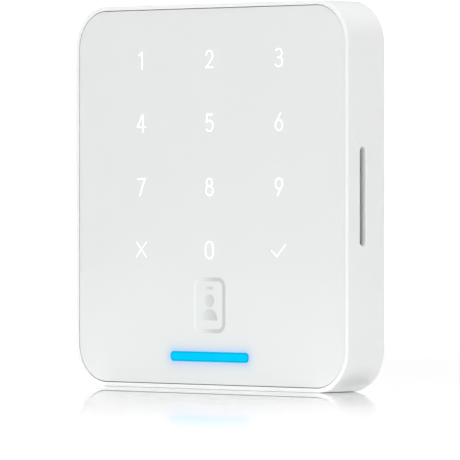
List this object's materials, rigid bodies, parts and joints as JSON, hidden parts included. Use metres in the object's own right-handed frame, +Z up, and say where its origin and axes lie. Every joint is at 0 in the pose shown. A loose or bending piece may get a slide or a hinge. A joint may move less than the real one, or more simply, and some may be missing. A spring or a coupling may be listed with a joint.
{
  "type": "rfid card reader",
  "caption": "Thin square wall-mounted RFID card reader with a touch keypad, a blue status light bar, a side sound slot and a hang-on wall plate.",
  "frame": {"origin": "middle of the bottom edge it stands on, halfway between the front rim and the tip of the tamper plunger", "axes": "+Z up, -Y out of the keypad face towards the user, +Y into the wall, +X to the user's right (the side with the sound slot)"},
  "size_m": [0.0984, 0.0144, 0.1],
  "materials": {
    "case_white": "fine satin moulded polycarbonate, white",
    "front_panel": "pale grey smoked polycarbonate with a satin gloss and back-lit legends",
    "foam_tape": "black acrylic foam tape",
    "black_plastic": "black glass-filled nylon",
    "light_guide": "diffusing acrylic, lit sky blue",
    "circuit_board": "green solder mask on glass-epoxy laminate",
    "copper": "enamelled copper wire",
    "ferrite": "sintered ferrite, dark grey",
    "tinned_metal": "tin-plated steel, dull",
    "chip_resin": "black moulded epoxy",
    "socket_nylon": "natural nylon",
    "contact_brass": "gold-flashed brass",
    "seal_rubber": "black silicone rubber",
    "diaphragm_film": "thin polyester film",
    "speaker_cloth": "fine black acoustic mesh",
    "plunger_acetal": "white acetal",
    "steel": "zinc-plated steel",
    "reset_red": "red ABS",
    "wall_plate": "light grey glass-filled nylon",
    "led_lens": "phosphor-filled silicone over a white LED"
  },
  "bodies": {
    "wall_plate": {"wall_plate": "wall_plate"},
    "reader": {"housing": "case_white", "rear_cover": "case_white", "front_panel": "front_panel", "panel_adhesive": "foam_tape", "light_mask": "black_plastic", "status_light_guide": "light_guide", "touch_board": "circuit_board", "antenna_coil": "copper", "ferrite_frame": "ferrite", "main_board": "circuit_board", "processor_shield": "tinned_metal", "memory_chip": "chip_resin", "lan_magnetics": "chip_resin", "poe_transformer": "ferrite", "power_inductor": "ferrite", "bulk_capacitor_1": "chip_resin", "bulk_capacitor_2": "chip_resin", "bridge_rectifier": "chip_resin", "bluetooth_module": "tinned_metal", "audio_amplifier": "chip_resin", "board_connector": "black_plastic", "cable_socket": "socket_nylon", "socket_pins": "contact_brass", "port_seal": "seal_rubber", "speaker_frame": "black_plastic", "speaker_magnet": "tinned_metal", "speaker_mesh": "speaker_cloth", "tamper_switch": "black_plastic", "tamper_spring": "steel", "reset_switch": "tinned_metal", "key_led_01": "led_lens", "key_led_02": "led_lens", "key_led_03": "led_lens", "key_led_04": "led_lens", "key_led_05": "led_lens", "key_led_06": "led_lens", "key_led_07": "led_lens", "key_led_08": "led_lens", "key_led_09": "led_lens", "key_led_10": "led_lens", "key_led_11": "led_lens", "key_led_12": "led_lens", "status_led_1": "led_lens", "status_led_2": "led_lens", "status_led_3": "led_lens", "status_led_4": "led_lens", "case_screw_1": "steel", "case_screw_2": "steel", "case_screw_3": "steel", "case_screw_4": "steel", "board_screw_1": "steel", "board_screw_2": "steel", "board_screw_3": "steel", "board_screw_4": "steel"},
    "security_screw": {"security_screw": "steel"},
    "tamper_plunger": {"tamper_plunger": "plunger_acetal"},
    "reset_button": {"reset_button": "reset_red"},
    "speaker_diaphragm": {"speaker_diaphragm": "diaphragm_film"}
  },
  "joints": [
    {"name": "reader_swing", "type": "hinge", "parent": "wall_plate", "child": "reader", "pos_m": [0, 0.0066, 0.0996], "axis": [-1, 0, 0], "range_deg": [0, 12]},
    {"name": "security_screw_out", "type": "slide", "parent": "wall_plate", "child": "security_screw", "axis": [0, 0, -1], "range_m": [0, 0.003]},
    {"name": "tamper_press", "type": "slide", "parent": "reader", "child": "tamper_plunger", "axis": [0, -1, 0], "range_m": [0, 0.0009], "stiffness_N_per_m": 300, "springref_m": -0.001, "deforming": ["tamper_spring"]},
    {"name": "reset_press", "type": "slide", "parent": "reader", "child": "reset_button", "axis": [0, -1, 0], "range_m": [0, 0.0003], "stiffness_N_per_m": 800, "springref_m": -0.0005},
    {"name": "diaphragm_stroke", "type": "slide", "parent": "reader", "child": "speaker_diaphragm", "axis": [0, 1, 0], "range_m": [-0.0003, 0.0003], "stiffness_N_per_m": 400}
  ]
}
